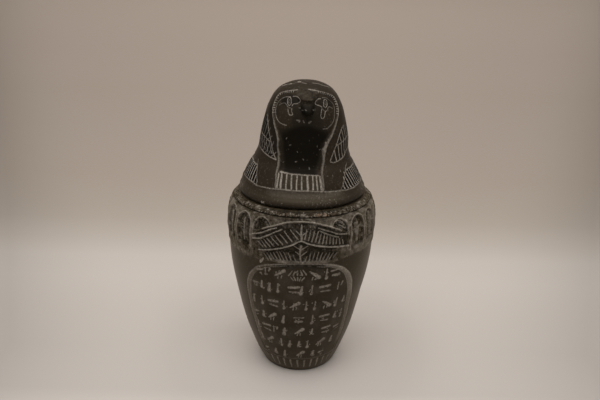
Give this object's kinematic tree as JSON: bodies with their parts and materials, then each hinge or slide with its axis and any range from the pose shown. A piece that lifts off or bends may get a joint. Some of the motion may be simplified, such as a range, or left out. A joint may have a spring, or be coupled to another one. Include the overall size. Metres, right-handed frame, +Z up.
{
  "type": "canopic jar",
  "caption": "Turned stone canopic jar with a carved belt, a framed panel on the belly and a lift-off falcon-head lid; a hollow vessel for keeping or showing things.",
  "frame": {"origin": "middle of the flat underside, on the jar's axis", "axes": "+Z up the jar's axis to the crown of the falcon's head, the face and the framed panel towards -Y, +X to the right of someone facing them"},
  "size_m": [0.121, 0.1218, 0.24],
  "materials": {
    "jar_stone": "dark, hand polished, pale dust in the cuts",
    "lid_stone": "dark, hand polished, pale dust in the cuts"
  },
  "bodies": {
    "root": {"jar": "jar_stone", "falcon_head_lid": "lid_stone"}
  },
  "joints": []
}
